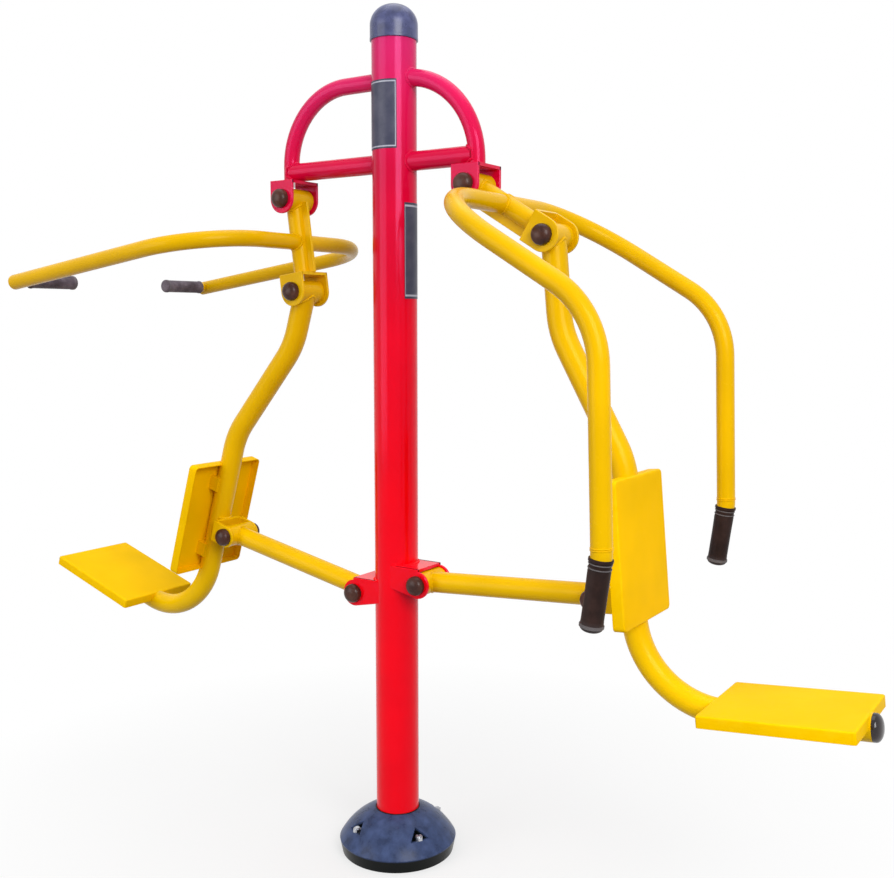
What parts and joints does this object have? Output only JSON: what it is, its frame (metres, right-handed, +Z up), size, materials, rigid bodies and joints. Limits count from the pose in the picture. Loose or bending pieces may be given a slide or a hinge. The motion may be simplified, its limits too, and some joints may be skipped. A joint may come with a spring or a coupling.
{
  "type": "outdoor chest press machine",
  "caption": "Post-mounted outdoor exercise machine with a seated pull station on one side and a seated chest press station on the other, each a linkage that lifts the seat.",
  "frame": {"origin": "on the post axis at ground level, the underside of the base plate", "axes": "+Z up along the post, +X towards the press station, -X towards the pull station, every pivot axis along Y"},
  "size_m": [2.475, 0.7716, 2.21],
  "materials": {
    "red_paint": "gloss powder coat",
    "yellow_paint": "gloss powder coat",
    "charcoal_plastic": "satin moulded",
    "cap_plastic": "satin moulded",
    "grip_rubber": "satin",
    "bright_steel": "zinc plated",
    "galvanised_steel": "hot-dip galvanised",
    "label_panel": "satin film, left bare"
  },
  "bodies": {
    "frame": {"base_plate": "galvanised_steel", "cover_studs": "bright_steel", "cover_nuts": "bright_steel", "base_cover": "charcoal_plastic", "post_tube": "red_paint", "post_cap": "charcoal_plastic", "pull_arch": "red_paint", "press_arch": "red_paint", "pull_bar": "red_paint", "press_bar": "red_paint", "pull_top_clevis": "red_paint", "press_top_clevis": "red_paint", "pull_post_lug": "red_paint", "press_post_lug": "red_paint", "upper_label": "label_panel", "lower_label": "label_panel", "frame_pins": "bright_steel", "frame_pin_caps": "cap_plastic"},
    "pull_lever": {"pull_lever_barrel": "yellow_paint", "pull_lever_tube": "yellow_paint", "pull_lever_rib": "yellow_paint", "pull_lever_clevis": "yellow_paint", "pull_handlebar": "yellow_paint", "pull_grips": "grip_rubber", "pull_lever_pin": "bright_steel", "pull_lever_pin_caps": "cap_plastic", "pull_grip_stubs": "yellow_paint", "pull_end_caps": "yellow_paint"},
    "pull_seat": {"pull_seat_barrel": "yellow_paint", "pull_seat_tube": "yellow_paint", "pull_back_saddles": "yellow_paint", "pull_backrest": "yellow_paint", "pull_seat_pan": "yellow_paint", "pull_tube_plug": "cap_plastic", "pull_seat_lug": "yellow_paint", "pull_seat_pin": "bright_steel", "pull_seat_pin_caps": "cap_plastic"},
    "pull_link": {"pull_link_tube": "yellow_paint", "pull_link_barrels": "yellow_paint"},
    "press_lever": {"press_lever_barrel": "yellow_paint", "press_lever_tube": "yellow_paint", "press_lever_rib": "yellow_paint", "press_lever_clevis": "yellow_paint", "press_handlebar": "yellow_paint", "press_grips": "grip_rubber", "press_lever_pin": "bright_steel", "press_lever_pin_caps": "cap_plastic"},
    "press_seat": {"press_seat_barrel": "yellow_paint", "press_seat_tube": "yellow_paint", "press_back_saddles": "yellow_paint", "press_backrest": "yellow_paint", "press_seat_pan": "yellow_paint", "press_tube_plug": "cap_plastic", "press_seat_lug": "yellow_paint", "press_seat_pin": "bright_steel", "press_seat_pin_caps": "cap_plastic"},
    "press_link": {"press_link_tube": "yellow_paint", "press_link_barrels": "yellow_paint"}
  },
  "joints": [
    {"name": "pull_lever_pivot", "type": "hinge", "parent": "frame", "child": "pull_lever", "pos_m": [-0.338, 0, 1.7484], "axis": [0, -1, 0], "range_deg": [0, 24]},
    {"name": "pull_seat_pivot", "type": "hinge", "parent": "pull_lever", "child": "pull_seat", "pos_m": [-0.30414, 0, 1.50121], "axis": [0, -1, 0], "range_deg": [-31, 0]},
    {"name": "pull_link_pivot", "type": "hinge", "parent": "frame", "child": "pull_link", "pos_m": [-0.102, 0, 0.7013], "axis": [0, -1, 0], "range_deg": [-8.5, 0]},
    {"name": "press_lever_pivot", "type": "hinge", "parent": "frame", "child": "press_lever", "pos_m": [0.245, 0, 1.7484], "axis": [0, -1, 0], "range_deg": [0, 30]},
    {"name": "press_seat_pivot", "type": "hinge", "parent": "press_lever", "child": "press_seat", "pos_m": [0.45819, 0, 1.61878], "axis": [0, -1, 0], "range_deg": [-34.5, 0]},
    {"name": "press_link_pivot", "type": "hinge", "parent": "frame", "child": "press_link", "pos_m": [0.102, 0, 0.7486], "axis": [0, -1, 0], "range_deg": [0, 13.6]}
  ],
  "couplings": [
    {"joint": "pull_seat_pivot", "follows": "pull_lever_pivot", "ratio": -1.2795},
    {"joint": "pull_link_pivot", "follows": "pull_lever_pivot", "ratio": -0.3435},
    {"joint": "press_seat_pivot", "follows": "press_lever_pivot", "ratio": -1.1392},
    {"joint": "press_link_pivot", "follows": "press_lever_pivot", "ratio": 0.4485}
  ]
}
